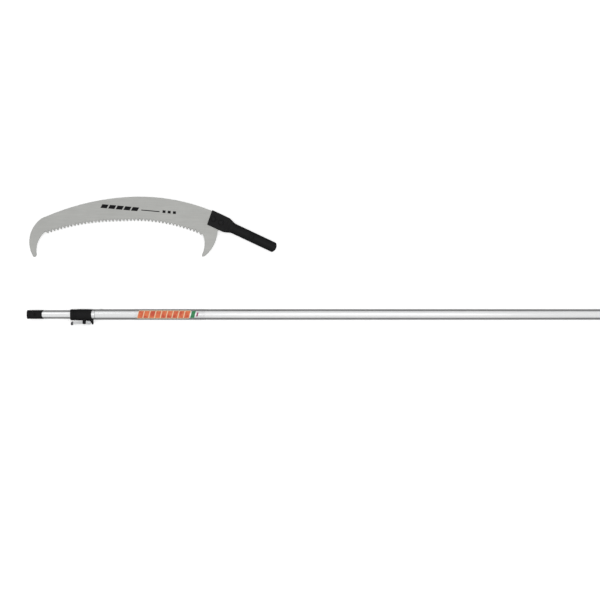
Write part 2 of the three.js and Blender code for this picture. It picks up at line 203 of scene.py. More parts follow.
def apply_modifiers(obj):
    graph = bpy.context.evaluated_depsgraph_get()
    mesh = bpy.data.meshes.new_from_object(obj.evaluated_get(graph))
    old = obj.data
    obj.modifiers.clear()
    obj.data = mesh
    bpy.data.meshes.remove(old)
    return obj


def combine(obj, other, operation):
    step = obj.modifiers.new("combine", "BOOLEAN")
    step.operation = operation
    step.solver = "EXACT"
    step.object = other
    apply_modifiers(obj)
    mesh = other.data
    bpy.data.objects.remove(other)
    bpy.data.meshes.remove(mesh)
    return obj


def cut(obj, *others):
    for other in others:
        combine(obj, other, "DIFFERENCE")
    return obj


def join(obj, *others):
    for other in others:
        combine(obj, other, "UNION")
    return obj


def common(obj, other):
    return combine(obj, other, "INTERSECT")


def soften(obj, width, segments=2, angle=38):
    """Rounds the edges that turn by more than the angle."""
    bm = bmesh.new()
    bm.from_mesh(obj.data)
    bmesh.ops.remove_doubles(bm, verts=bm.verts, dist=0.002)
    bmesh.ops.dissolve_limit(
        bm, angle_limit=math.radians(0.5), verts=bm.verts, edges=bm.edges
    )
    bm.to_mesh(obj.data)
    bm.free()
    step = obj.modifiers.new("soften", "BEVEL")
    step.width = width
    step.segments = segments
    step.limit_method = "ANGLE"
    step.angle_limit = math.radians(angle)
    step.use_clamp_overlap = True
    return apply_modifiers(obj)


def piece(name, obj, place, body, slot, material, *nodes, smooth=35):
    """Puts a finished mesh in its place, with its material, and hands it to the frame."""
    obj.name = name
    obj.data.name = name
    obj.data.transform(place)
    count = len(obj.data.polygons)
    obj.data.polygons.foreach_set("use_smooth", [True] * count)
    obj.data.set_sharp_from_angle(angle=math.radians(smooth))
    obj.data.materials.clear()
    obj.data.materials.append(material)
    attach(obj, body)
    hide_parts(*(nodes or (name.replace("_piece", ""),)))
    return obj


# ---- Material helpers ----
class Nodes:
    """A new node material and short ways to add nodes to it."""

    def __init__(self, name, color, roughness, metallic=0.0, specular=0.5):
        self.material = bpy.data.materials.new(name)
        self.material.use_nodes = True
        self.tree = self.material.node_tree
        self.shader = self.tree.nodes["Principled BSDF"]
        self.shader.inputs["Base Color"].default_value = (*color, 1)
        self.shader.inputs["Roughness"].default_value = roughness
        self.shader.inputs["Metallic"].default_value = metallic
        self.shader.inputs["Specular IOR Level"].default_value = specular
        self.place = self.tree.nodes.new("ShaderNodeTexCoord").outputs["Object"]

    def link(self, source, target):
        self.tree.links.new(source, target)

    def mapped(self, scale=(1, 1, 1), location=(0, 0, 0), turn=0.0):
        """Object coordinates seen from a frame at location, turned about Z, then scaled."""
        local = self.tree.nodes.new("ShaderNodeMapping")
        local.vector_type = "TEXTURE"
        local.inputs["Location"].default_value = location
        local.inputs["Rotation"].default_value = (0, 0, turn)
        local.inputs["Scale"].default_value = tuple(1 / s for s in scale)
        self.link(self.place, local.inputs["Vector"])
        return local.outputs["Vector"]

    def noise(self, vector, scale, detail=3.0, roughness=0.5):
        node = self.tree.nodes.new("ShaderNodeTexNoise")
        node.inputs["Scale"].default_value = scale
        node.inputs["Detail"].default_value = detail
        node.inputs["Roughness"].default_value = roughness
        self.link(vector, node.inputs["Vector"])
        return node.outputs["Fac"]

    def span(self, value, low, high, to_low, to_high):
        """Maps low..high of a value to to_low..to_high, clamped."""
        node = self.tree.nodes.new("ShaderNodeMapRange")
        self.link(value, node.inputs["Value"])
        for key, number in zip(("From Min", "From Max", "To Min", "To Max"),
                               (low, high, to_low, to_high)):
            node.inputs[key].default_value = number
        return node.outputs["Result"]

    def math(self, operation, a, b=0.0):
        node = self.tree.nodes.new("ShaderNodeMath")
        node.operation = operation
        for socket, value in zip(node.inputs, (a, b)):
            if isinstance(value, (int, float)):
                socket.default_value = value
            else:
                self.link(value, socket)
        return node.outputs[0]

    def axes(self, vector):
        node = self.tree.nodes.new("ShaderNodeSeparateXYZ")
        self.link(vector, node.inputs[0])
        return node.outputs

    def mix(self, factor, a, b):
        """Colour a where factor is 0, b where it is 1."""
        node = self.tree.nodes.new("ShaderNodeMix")
        node.data_type = "RGBA"
        self.link(factor, node.inputs[0])
        for socket, value in ((node.inputs[6], a), (node.inputs[7], b)):
            if isinstance(value, tuple):
                socket.default_value = (*value, 1)
            else:
                self.link(value, socket)
        return node.outputs[2]

    def bump(self, height, distance, strength=1.0):
        node = self.tree.nodes.new("ShaderNodeBump")
        node.inputs["Strength"].default_value = strength
        node.inputs["Distance"].default_value = distance
        self.link(height, node.inputs["Height"])
        self.link(node.outputs["Normal"], self.shader.inputs["Normal"])

    def color(self, value):
        self.link(value, self.shader.inputs["Base Color"])

    def roughness(self, value):
        self.link(value, self.shader.inputs["Roughness"])

    def inside(self, value, low, high, edge):
        """1 where low < value < high, with a soft edge."""
        rise = self.span(value, low - edge, low + edge, 0, 1)
        fall = self.span(value, high - edge, high + edge, 1, 0)
        return self.math("MULTIPLY", rise, fall)


# ---- Materials ----
def drawn_aluminium():
    n = Nodes("drawn_aluminium", (0.62, 0.63, 0.64), 0.26, metallic=1.0)
    lines = n.noise(n.mapped((3, 900, 900)), 1.0, detail=4, roughness=0.6)
    cloud = n.noise(n.mapped((12, 60, 60)), 1.0)
    n.color(n.mix(cloud, (0.88, 0.885, 0.89), (0.95, 0.955, 0.96)))
    n.roughness(n.span(lines, 0.3, 0.7, 0.2, 0.34))
    n.bump(lines, 0.00003)
    return n.material


def turned_aluminium():
    n = Nodes("turned_aluminium", (0.8, 0.8, 0.81), 0.24, metallic=1.0)
    rings = n.noise(n.mapped((4000, 12, 12)), 1.0, detail=2)
    n.color(n.mix(rings, (0.74, 0.745, 0.75), (0.84, 0.845, 0.85)))
    n.roughness(n.span(rings, 0.3, 0.7, 0.18, 0.34))
    n.bump(rings, 0.00003)
    return n.material


def moulded_plastic(name, dark, light, rough_low, rough_high, grain=2600):
    n = Nodes(name, dark, rough_high, specular=0.14)
    pits = n.noise(n.mapped(), grain, detail=2)
    cloud = n.noise(n.mapped(), 90, detail=4)
    n.color(n.mix(cloud, dark, light))
    n.roughness(n.span(cloud, 0.35, 0.65, rough_low, rough_high))
    n.bump(pits, 0.00006, strength=0.7)
    return n.material


def zinc_plate():
    n = Nodes("zinc_plate", (0.62, 0.63, 0.65), 0.3, metallic=1.0)
    cloud = n.noise(n.mapped(), 420, detail=5, roughness=0.65)
    n.color(n.mix(cloud, (0.5, 0.51, 0.52), (0.74, 0.75, 0.77)))
    n.roughness(n.span(cloud, 0.3, 0.7, 0.22, 0.42))
    n.bump(n.noise(n.mapped(), 3000, detail=2), 0.00003)
    return n.material


def cast_metal():
    n = Nodes("cast_metal", (0.78, 0.79, 0.8), 0.34, metallic=1.0)
    pits = n.noise(n.mapped(), 1500, detail=4, roughness=0.6)
    cloud = n.noise(n.mapped(), 160, detail=3)
    n.color(n.mix(cloud, (0.5, 0.505, 0.51), (0.64, 0.645, 0.65)))
    n.roughness(n.span(pits, 0.3, 0.7, 0.28, 0.46))
    n.bump(pits, 0.00008)
    return n.material


def black_steel():
    n = Nodes("blackened_steel", (0.01, 0.01, 0.011), 0.42, metallic=0.5, specular=0.2)
    cloud = n.noise(n.mapped(), 520, detail=5, roughness=0.65)
    n.color(n.mix(cloud, (0.006, 0.006, 0.0065), (0.02, 0.02, 0.021)))
    n.roughness(n.span(cloud, 0.3, 0.7, 0.3, 0.55))
    n.bump(n.noise(n.mapped(), 2600, detail=3), 0.00005)
    return n.material


def powder_coat():
    n = Nodes("powder_coat", (0.006, 0.006, 0.006), 0.4, specular=0.14)
    peel = n.noise(n.mapped(), 900, detail=2, roughness=0.4)
    cloud = n.noise(n.mapped(), 70, detail=4)
    n.color(n.mix(cloud, (0.004, 0.004, 0.0045), (0.01, 0.01, 0.0105)))
    n.roughness(n.span(cloud, 0.35, 0.65, 0.3, 0.46))
    n.bump(peel, 0.00012)
    return n.material


# The blade's plain printed mark starts here and runs along the blade.
MARK_AT = (0.046, 0.2606, 0)
MARK_TURN = math.radians(-5.2)
STRIPE_LONG, STRIPE_HALF = 0.092, 0.0046
STRIPE_PITCH, STRIPE_SLANT = 0.0184, 0.45
RULE_FROM, RULE_TO, RULE_HALF = 0.098, 0.142, 0.0011
DASH_FROM, DASH_PITCH, DASH_COUNT = 0.149, 0.0125, 3
DASH_LONG, DASH_HALF = 0.0072, 0.0032
STRIPE_GAP, RULE_DROP = 0.0016, 0.001
PRINT_EDGE = 0.0002              # softness of a printed edge


def blade_mark(n):
    """Where the mark is printed: a slanted broken stripe, a thin rule and three dashes."""
    u, v, _ = n.axes(n.mapped(location=MARK_AT, turn=MARK_TURN))
    slanted = n.math("SUBTRACT", u, n.math("MULTIPLY", v, STRIPE_SLANT))
    repeat = n.math("FLOORED_MODULO", slanted, STRIPE_PITCH)
    bars = n.math("MULTIPLY", n.inside(repeat, STRIPE_GAP, STRIPE_PITCH - STRIPE_GAP, PRINT_EDGE),
                  n.inside(slanted, 0.0, STRIPE_LONG, PRINT_EDGE))
    bars = n.math("MULTIPLY", bars, n.inside(v, -STRIPE_HALF, STRIPE_HALF, PRINT_EDGE))
    rule = n.math("MULTIPLY", n.inside(u, RULE_FROM, RULE_TO, PRINT_EDGE),
                  n.inside(v, -RULE_HALF - RULE_DROP, RULE_HALF - RULE_DROP, PRINT_EDGE))
    mark = n.math("ADD", bars, rule)
    for i in range(DASH_COUNT):
        start = DASH_FROM + i * DASH_PITCH
        dash = n.math("MULTIPLY", n.inside(u, start, start + DASH_LONG, PRINT_EDGE),
                      n.inside(v, -DASH_HALF, DASH_HALF, PRINT_EDGE))
        mark = n.math("ADD", mark, dash)
    return mark


def saw_steel():
    n = Nodes("saw_steel", (0.4, 0.4, 0.385), 0.4, metallic=1.0)
    turn = HEAD_TURN + math.radians(24)
    at = (HEAD_X * MM, HEAD_Y * MM, 0)
    grind = n.noise(n.mapped((30, 2600, 400), at, turn), 1.0, detail=5, roughness=0.6)
    cloud = n.noise(n.mapped(), 24, detail=5, roughness=0.6)
    base = n.mix(cloud, (0.385, 0.388, 0.372), (0.47, 0.472, 0.455))
    base = n.mix(n.span(grind, 0.35, 0.65, 0, 0.35), base, (0.33, 0.333, 0.325))
    n.color(n.mix(blade_mark(n), base, (0.012, 0.012, 0.013)))
    n.roughness(n.span(grind, 0.3, 0.7, 0.34, 0.5))
    n.bump(grind, 0.00002)
    return n.material


LABEL_BARS = 9
LABEL_BAR_PITCH = 0.0139
LABEL_BAR_GAP = 0.0011
LABEL_INK_ANGLE = 0.86          # half the angle round the tube that the bars cover
LABEL_BORDER_ANGLE = 0.14       # the cream border's width, as an angle
LABEL_START, LABEL_SLANT = 0.0075, 0.25
GREEN_BAR = (0.1275, 0.137)
PLUM_BAR, PLUM_ANGLE = (0.1405, 0.1445), 0.4


def label_film():
    """Clear film over the tube, printed with slanted orange bars, a green and a plum one."""
    n = Nodes("label_film", (0.86, 0.84, 0.8), 0.3, metallic=1.0)
    x, y, z = n.axes(n.mapped(location=(LABEL_FROM * MM, 0, AXIS_Z * MM)))
    angle = n.math("ARCTAN2", y, z)
    slanted = n.math("SUBTRACT", n.math("SUBTRACT", x, LABEL_START),
                     n.math("MULTIPLY", y, LABEL_SLANT))
    repeat = n.math("FLOORED_MODULO", slanted, LABEL_BAR_PITCH)
    run = n.inside(slanted, 0.0, LABEL_BARS * LABEL_BAR_PITCH, 0.0002)
    wide = n.inside(angle, -LABEL_INK_ANGLE, LABEL_INK_ANGLE, 0.03)
    ink_angle = LABEL_INK_ANGLE - LABEL_BORDER_ANGLE
    narrow = n.inside(angle, -ink_angle, ink_angle, 0.03)
    border = n.math("MULTIPLY", run, wide)
    bar = n.inside(repeat, LABEL_BAR_GAP, LABEL_BAR_PITCH - LABEL_BAR_GAP, 0.0003)
    ink = n.math("MULTIPLY", n.math("MULTIPLY", bar, narrow), run)
    green = n.math("MULTIPLY", n.inside(slanted, *GREEN_BAR, 0.0003), narrow)
    plum = n.math("MULTIPLY", n.inside(slanted, *PLUM_BAR, 0.0003),
                  n.inside(angle, -PLUM_ANGLE, PLUM_ANGLE, 0.03))
    shade = n.span(n.noise(n.mapped((90, 90, 90)), 1.0), 0.35, 0.65, 0, 1)
    orange = n.mix(shade, (0.62, 0.075, 0.03), (0.84, 0.2, 0.07))
    color = n.mix(border, (0.84, 0.845, 0.85), (0.9, 0.66, 0.42))
    color = n.mix(ink, color, orange)
    color = n.mix(green, color, (0.02, 0.24, 0.08))
    n.color(n.mix(plum, color, (0.36, 0.05, 0.16)))
    printed = n.math("MAXIMUM", border, n.math("MAXIMUM", green, plum))
    n.link(n.span(printed, 0, 1, 1, 0), n.shader.inputs["Metallic"])
    n.roughness(n.span(n.noise(n.mapped(), 300), 0.3, 0.7, 0.24, 0.36))
    n.bump(n.noise(n.mapped((200, 900, 900)), 1.0), 0.00002)
    return n.material


MATERIALS = {
    "tube": drawn_aluminium(),
    "ring": turned_aluminium(),
    "plastic": moulded_plastic(
        "black_plastic", (0.006, 0.006, 0.0065), (0.012, 0.012, 0.0125), 0.42, 0.56
    ),
    "nylon": moulded_plastic(
        "black_nylon", (0.004, 0.004, 0.0045), (0.009, 0.009, 0.0095), 0.36, 0.5, grain=3200
    ),
    "grey": moulded_plastic(
        "grey_plastic", (0.06, 0.06, 0.064), (0.1, 0.1, 0.104), 0.45, 0.6
    ),
    "rubber": moulded_plastic(
        "soft_rubber", (0.014, 0.014, 0.014), (0.03, 0.03, 0.03), 0.72, 0.9, grain=1800
    ),
    "zinc": zinc_plate(),
    "cast": cast_metal(),
    "steel": saw_steel(),
    "coat": powder_coat(),
    "black": black_steel(),
    "label": label_film(),
}


# ---- Pole ----
def rounded_tube(outer, inner, start, end, lip=0.3):
    return turned([
        (start, inner + lip), (start, outer - lip), (start + lip * 0.3, outer - lip * 0.3),
        (start + lip, outer), (end - lip, outer), (end - lip * 0.3, outer - lip * 0.3),
        (end, outer - lip), (end, inner + lip), (end - lip, inner), (start + lip, inner),
    ])


def along_y(radius, x, low, high):
    """A round rod along +Y."""
    rod = post(radius, 0, 0, low, high)
    rod.data.transform(Matrix.Translation((x, 0, 0)) @ Matrix.Rotation(-math.pi / 2, 4, "X"))
    return rod


def make_tubes():
    outer = cut(
        rounded_tube(OUTER_R, OUTER_BORE, OUTER_NOSE, OUTER_TAIL),
        along_y(SMALL_HOLE_R, RIVET_X, 5, 25),
    )
    piece("outer_tube_piece", outer, POLE, "pole_outer", "tube_aluminium", MATERIALS["tube"])
    inner = cut(
        rounded_tube(INNER_R, INNER_BORE, SHOULDER_X + GAP, INNER_TAIL),
        post(SMALL_HOLE_R, ADAPTER_PIN_X, 0, -20, 0),
    )
    piece("inner_tube_piece", inner, POLE, "pole_inner", "tube_aluminium", MATERIALS["tube"])
    label = rounded_tube(OUTER_R + 0.15, OUTER_R + 0.05, LABEL_FROM, LABEL_TO, lip=0.04)
    piece("label_band_piece", label, POLE, "pole_outer", "label_film", MATERIALS["label"])


def make_butt_plug():
    spigot = OUTER_BORE - GAP
    face, rim = OUTER_TAIL + GAP, OUTER_R + 0.1
    end = face + 8.5
    profile = [(face - 30, 0), (face - 30, spigot - 1), (face - 29, spigot)]
    for rib in (24, 17, 10):
        profile += [(face - rib, spigot), (face - rib + 0.6, spigot - 0.8),
                    (face - rib + 3, spigot - 0.8), (face - rib + 3.6, spigot)]
    profile += [(face, spigot), (face, rim - 0.4), (face + 0.4, rim)]
    for groove in (1.4, 3.2):
        profile += [(face + groove, rim), (face + groove + 0.25, rim - 0.5),
                    (face + groove + 0.75, rim - 0.5), (face + groove + 1, rim)]
    profile += [(face + 5, rim), (face + 6.6, rim - 0.5), (face + 7.7, rim - 1.5),
                (face + 8.3, rim - 2.6), (end, rim - 3.6), (end, 6), (end - 0.8, 5.6),
                (end - 0.8, 0)]
    plug = turned(profile, closed=False)
    piece("butt_plug_piece", plug, POLE, "pole_outer", "black_plastic", MATERIALS["plastic"])


def make_tip_adapter():
    tip, shoulder = TIP_X, SHOULDER_X
    spigot, lip = INNER_BORE - GAP, INNER_R + 0.1
    body = turned([
        (tip, 0), (tip, 4.6), (tip + 0.5, 5), (tip + 0.5, 6.6), (tip, 7),
        (tip, ADAPTER_R - 2), (tip + 0.3, ADAPTER_R - 1), (tip + 0.9, ADAPTER_R - 0.4),
        (tip + 2, ADAPTER_R), (tip + 6, ADAPTER_R), (tip + 6.5, ADAPTER_R - 0.5),
        (tip + 7, ADAPTER_R - 0.5), (tip + 7.6, ADAPTER_R),
        (shoulder + 4.1, ADAPTER_R), (shoulder + 4.4, ADAPTER_R - 0.2), (shoulder + 4.4, lip),
        (shoulder, lip), (shoulder, spigot), (shoulder + 39, spigot),
        (shoulder + 40, spigot - 1), (shoulder + 40, 0),
    ], closed=False)
    room = turned([(shoulder - 5, 0), (shoulder - 5, lip - 0.05),
                   (shoulder + 50, lip - 0.05), (shoulder + 50, 0)], closed=False)
    scoop = cut(post(16, shoulder + 16, 0, -20, 20, sides=ROUND), room)
    cut(
        body,
        scoop,
        post(SCREW_SEAT_R, SCREW_SEAT_X, 0, 6, 20),
        post(SMALL_HOLE_R, ADAPTER_PIN_X, 0, -20, 0),
    )
    soften(body, 0.25)
    piece("tip_adapter_piece", body, POLE, "pole_inner", "collar_plastic", MATERIALS["nylon"])


# ---- Lock collar and its clamp ----
def collar_shell():
    nose, tail, r = COLLAR_NOSE, COLLAR_TAIL, COLLAR_R
    profile = [(nose, 0), (nose, r - 1.9), (nose + 0.3, r - 1.2), (nose + 0.9, r - 0.65),
               (nose + 2, r - 0.4)]
    for groove in (7, 12):
        x = nose + groove
        profile += [(x, r - 0.2), (x + 0.35, r - 1), (x + 1.65, r - 1), (x + 2, r - 0.2)]
    profile += [(0, r), (14, r), (tail, r - 0.3), (tail, 0)]
    return turned(profile, shift_y=COLLAR_SHIFT_Y, closed=False)


def rod_about_x(radius, start, end):
    return turned([(start, 0), (start, radius), (end, radius), (end, 0)], closed=False)


def make_lock_collar():
    nose, tail = COLLAR_NOSE, COLLAR_TAIL
    window, window_half = SHOE_WINDOW
    r = LUG_R
    lug = arc((LEVER_X + r, LEVER_Y), (LEVER_X, LEVER_Y - r), (LEVER_X - r, LEVER_Y), 24)
    lug += [(LEVER_X - r, -9), (LEVER_X + r, -9)]
    ear = arc((3.4, -21.4), (SHOE_X, -23.6), (11, -21.4), 16) + [(11.6, -6), (2.8, -6)]
    guard = [(20, -9), (22, -14.6), (24.4, -20.5), (25.6, -23.7), (27.2, -24.2),
             (28.4, -23.2), (28.6, -17), (28.2, -9)]
    shell = collar_shell()
    cut(
        shell,
        post(SCOOP_R, COLLAR_HOLLOW + SCOOP_R, 0, -20, 20, sides=SCOOP_ROUND),
        block((-60, -40, -30), (60, 40, -AXIS_Z)),
    )
    fin = cut(plate(guard, -6.5, 6.5), rod_about_x(OUTER_R + GAP, COLLAR_HOLLOW, tail + 5))
    join(
        shell,
        rod_about_x(OUTER_BORE - 0.25, 0, COLLAR_SPIGOT_END),
        plate(lug, -3.1, 3.1),
        plate(ear, 6.4, 8.9),
        plate(ear, -8.9, -6.4),
        fin,
    )
    bore, past = INNER_R + COLLAR_CLEARANCE, COLLAR_SPIGOT_END + 1
    core = turned([(nose - 1, 0), (nose - 1, 12.2), (nose + 3.4, 12.2), (nose + 3.4, bore),
                   (past, bore), (past, 0)], closed=False)
    cut(
        shell,
        core,
        post(PIN_R + GAP, LEVER_X, LEVER_Y, -20, 20),
        block((SHOE_X - window, -20, -window_half), (SHOE_X + window, 0, window_half)),
        along_y(SMALL_HOLE_R, RIVET_X, 5, 25),
    )
    soften(shell, 0.3, angle=32)
    piece("lock_collar_piece", shell, POLE, "pole_outer", "collar_plastic",
          MATERIALS["nylon"])


def make_collar_trim():
    ring = common(
        rounded_tube(OUTER_R, OUTER_BORE, 20, OUTER_NOSE - 0.5, lip=0.2),
        post(SCOOP_R - GAP, COLLAR_HOLLOW + SCOOP_R, 0, -20, 20, sides=SCOOP_ROUND),
    )
    piece("collar_ring_piece", ring, POLE, "pole_outer", "ring_aluminium", MATERIALS["ring"])

    start, end = COLLAR_NOSE - 0.3, COLLAR_NOSE + 3.1
    low = INNER_R + 0.25
    wiper = turned([(start, low + 0.5), (start, 11.6), (start + 0.3, 11.9), (end, 11.9),
                    (end, low + 0.8), (start + 1.6, low + 0.8), (start + 0.7, low),
                    (start + 0.3, low)])
    piece("wiper_ring_piece", wiper, POLE, "pole_outer", "rubber", MATERIALS["rubber"])

    seat = OUTER_R + GAP
    rivet = stack(0, 0, [(INNER_R + 0.45, 1.5), (seat, 1.5), (seat, 3), (seat + 0.25, 2.9),
                         (seat + 0.5, 2.4), (seat + 0.65, 1.6), (seat + 0.7, 0.7)])
    rivet.data.transform(
        Matrix.Translation((RIVET_X, 0, 0)) @ Matrix.Rotation(-math.pi / 2, 4, "X")
    )
    piece("collar_rivet_piece", rivet, POLE, "pole_outer", "zinc", MATERIALS["zinc"])


def make_lever_pin():
    half = [(0.0, PIN_R), (6.3, PIN_R), (6.3, 3.1), (6.7, 3.0), (7.1, 2.6), (7.35, 1.9),
            (7.5, 0.9)]
    low = [(-z if z < 7.3 else -7.3, r) for z, r in reversed(half[1:])]
    pin = stack(LEVER_X, LEVER_Y, low[1:] + half)
    piece("lever_pin_piece", pin, POLE, "pole_outer", "zinc", MATERIALS["zinc"])


def make_clamp_lever():
    x, y, r, high = LEVER_X, LEVER_Y, LEVER_HUB_R, LEVER_HALF_HEIGHT
    outline = (
        arc((x + 0.6, y + r), (x + r, y), (x - 1, y - r), 28)
        + arc((10, -23.7), (-6, -23), (-20, -24.4), 14)
        + arc((-20, -17.2), (-8, -16.5), (4.6, -16.4), 10)
        + arc((5.6, -16), (SHOE_X, -15.6), (8.8, -16), 8)
        + [(10.4, -16.4), (14.4, -16.2)]
    )
    lever = plate(outline, -high, high)
    cut(lever, block((x - 5.9, y - 9, -3.5), (x + 9, y + 9, 3.5)))
    bays = ((9.4, 2.0), (0.8, -6.6), (-7.8, -17.2))
    for right, left in bays:
        bay = arc((right, -21.5), ((right + left) / 2, -21.1), (left, -21.7), 6)
        bay += [(left, -18.6), (right, -18.6)]
        cut(lever, plate(bay, high - 2.4, high + 1), plate(bay, -high - 1, 2.4 - high))
    cut(lever, post(PIN_R + GAP, x, y, -20, 20))
    join(lever, block((-22.6, -22.6, -3), (-19, -18.4, 3)))
    soften(lever, 0.35, angle=32)
    piece("clamp_lever_piece", lever, POLE, "lever", "lever_metal", MATERIALS["cast"])

    tab = (arc((-20.3, -16.8), (-23.6, -17.6), (-25.2, -20.6), 12)
           + arc((-25.5, -24), (-23.8, -25.94), (-20.3, -25), 12))
    tip = cut(plate(tab, -6.4, 6.4), block((-22.9, -22.9, -3.3), (-10, -18.1, 3.3)))
    soften(tip, 0.5, segments=3, angle=40)
    piece("lever_tip_piece", tip, POLE, "lever", "grey_plastic", MATERIALS["grey"])


# ---- Saw head ----
DEEP_GRIND, LIGHT_GRIND = 0.42, 0.6     # share of a tooth that its top face keeps
GRIND_ROOT = 2.6                        # how far the grind runs in behind the teeth
BLADE_MIDDLE = (BLADE_TOP + BLADE_BOTTOM) / 2


def tooth_outlines():
    """Outlines of the teeth on the blade's top and bottom faces.

    Every tooth is ground on its top face; every second one is ground further.
    """
    front = TOOTH_COUNT // 2
    roots = arc((-352, -200.5), (-279, -140.2), (-200, -95.3), front)
    roots += arc((-200, -95.3), (-99, -54.6), (-11, -42), TOOTH_COUNT - front)[1:]
    top, bottom = [], []
    for i, (root, following) in enumerate(zip(roots, roots[1:])):
        step = Vector(following) - Vector(root)
        out = Vector((step.y, -step.x)).normalized()

        def at(along, depth):
            return tuple(Vector(root) + step * along + out * depth)

        face = DEEP_GRIND if i % 2 else LIGHT_GRIND
        bottom += [at(0.1, -GULLET), at(0.68, TOOTH_DEPTH), at(0.8, TOOTH_DEPTH * 0.95)]
        top += [at(0.02, -GRIND_ROOT), at(0.55, TOOTH_DEPTH * face),
                at(0.66, TOOTH_DEPTH * (face - 0.06))]
    return top, bottom


def blade_outlines():
    before = (
        arc((14, 16.6), (-95, 4), (-195, -32.7), 40)
        + arc((-195, -32.7), (-283, -88.1), (-366, -165.3), 32)[1:]
        + arc((-366, -165.3), (-374.6, -175), (-380.2, -188), 8)[1:]
        + arc((-380.2, -188), (-383.3, -212), (-357.4, -262.5), 24)[1:]
        + [(-354, -265.6), (-351.5, -265.8), (-349.2, -265), (-347.2, -261.6)]
        + arc((-347.8, -257.6), (-358.3, -222), (-353.4, -201.5), 24)
    )
    after = (
        arc((-8, -44), (7.4, -66), (11.2, -89), 20)
        + [(12.6, -92.2), (14.2, -92.7), (15.8, -92.4)]
        + arc((18.8, -89.8), (26.4, -64), (20.6, -22), 24)
        + arc((26, -15.5), (30, 0), (26, 13.5), 12)
    )
    return before, after


def make_blade():
    edge = 0.3
    before, after = blade_outlines()
    top_teeth, bottom_teeth = tooth_outlines()
    levels = []
    for teeth, z, face_z in ((bottom_teeth, BLADE_BOTTOM + edge, BLADE_BOTTOM),
                             (top_teeth, BLADE_TOP - edge, BLADE_TOP)):
        full = before + teeth + after
        moved = inset(full, edge)
        face = moved[:len(before)] + teeth + moved[len(before) + len(teeth):]
        ring = [(x, y, z) for x, y in full]
        inner = [(x, y, face_z) for x, y in face]
        levels += [inner, ring] if z < BLADE_MIDDLE else [ring, inner]
    blade = slab(levels)
    cut(blade, post(HOLE_R, 0, 0, -20, 20), post(HOLE_R, REAR_BOLT_X, 0, -20, 20))
    piece("saw_blade_piece", blade, HEAD, "saw_head", "blade_steel", MATERIALS["steel"],
          smooth=20)


def smoothstep(x, low, high):
    t = min(max((x - low) / (high - low), 0), 1)
    return t * t * (3 - 2 * t)


def socket_ring(x, inward, sides=96):
    """Section of the socket tube. Its girth stays that of the round tube."""
    half = SOCKET_FLAT + (SOCKET_R - SOCKET_FLAT) * smoothstep(x, SWELL_FROM, SWELL_TO)
    straight = math.pi / 2 * (SOCKET_R - half)
    ring = []
    for i in range(sides):
        t = 2 * math.pi * (i + 0.5) / sides
        y = math.copysign(straight, math.cos(t)) + (half - inward) * math.cos(t)
        bulge = SOCKET_BULGE * (y / SOCKET_R) ** 2 if x > 150 else 0
        slant = 0.1 * y if x < 0 else 0
        ring.append((x - bulge - slant, y, (half - inward) * math.sin(t)))
    return ring


def make_socket():
    mouth = SOCKET_MOUTH
    swell = [SWELL_FROM + (SWELL_TO - SWELL_FROM) * i / 12 for i in range(13)]
    outer_x = [-8.8, 12, *swell, 100, 146, mouth - 1.6]
    outside = [socket_ring(SOCKET_HEEL, 0.5), socket_ring(SOCKET_HEEL + 0.4, 0)]
    outside += [socket_ring(x, 0) for x in outer_x]
    outside += [socket_ring(mouth - 0.8, 0.12), socket_ring(mouth - 0.3, 0.45),
                socket_ring(mouth, 0.9)]
    inner_x = [x for x in swell if x > 39] + [100, 146, mouth - 0.8]
    inside = [socket_ring(x, SOCKET_WALL) for x in inner_x]
    inside += [socket_ring(mouth + 2, SOCKET_WALL - 0.4)]
    socket = slab(outside)
    cut(
        socket,
        slab(inside),
        post(HOLE_R, 0, 0, -20, 20),
        post(HOLE_R, REAR_BOLT_X, 0, -20, 20),
        post(HOLE_R, LOCK_SCREW_X, 0, 0, 20),
    )
    piece("blade_socket_piece", socket, HEAD, "saw_head", "socket_paint", MATERIALS["coat"])


def hexagon(x, across_flats, low, high):
    return post(across_flats / math.sqrt(3), x, 0, low, high, sides=6)


def threaded(start, end, radius=3.0, pitch=1.0, depth=0.3):
    """Levels of a shank with thread ridges from start up to end."""
    levels = [(start, radius - 0.7), (start + 0.5, radius - depth)]
    z = start + 0.5
    while z + pitch < end:
        levels += [(z + pitch * 0.5, radius), (z + pitch, radius - depth)]
        z += pitch
    return levels


def make_bolt(name, x, body):
    seat = SOCKET_FLAT + WASHER_THICK + 2 * GAP
    head = common(
        hexagon(x, BOLT_FLATS, seat, seat + 4),
        stack(x, 0, [(seat - 1, 6.6), (seat + 3.1, 5.5), (seat + 4, 4.6)]),
    )
    cut(head, stack(x, 0, [(seat + 3.7, 3.4), (seat + 5, 3.8)]))
    levels = threaded(BOLT_END_Z - AXIS_Z, BLADE_BOTTOM - 0.5)
    shank = stack(x, 0, levels + [(BLADE_BOTTOM, 3.0), (seat + 1, 3.0)], sides=32)
    join(head, shank)
    soften(head, 0.18, segments=2, angle=50)
    piece(name + "_piece", head, HEAD, body, "black_steel", MATERIALS["black"])


def make_washer(name, x, body):
    low = SOCKET_FLAT + GAP
    high = low + WASHER_THICK
    disc = stack(x, 0, [(low, 6.1), (low + 0.2, 6.3), (high - 0.3, 6.3), (high, 6.0)],
                 sides=64)
    cut(disc, post(HOLE_R, x, 0, -20, 20))
    piece(name + "_piece", disc, HEAD, body, "black_steel", MATERIALS["black"])


def make_nut(name, x, body):
    seat = BLADE_BOTTOM - GAP
    nut = common(
        hexagon(x, BOLT_FLATS, seat - 5, seat),
        stack(x, 0, [(seat - 5, 4.7), (seat - 4.3, 5.6), (seat + 1, 5.9)]),
    )
    join(nut, stack(x, 0, [(seat - 1.1, 5.6), (seat - 0.8, 6.1), (seat, 6.1)], sides=64))
    cut(nut, post(HOLE_R, x, 0, -20, 20))
    soften(nut, 0.15, angle=50)
    piece(name + "_piece", nut, HEAD, body, "black_steel", MATERIALS["black"])


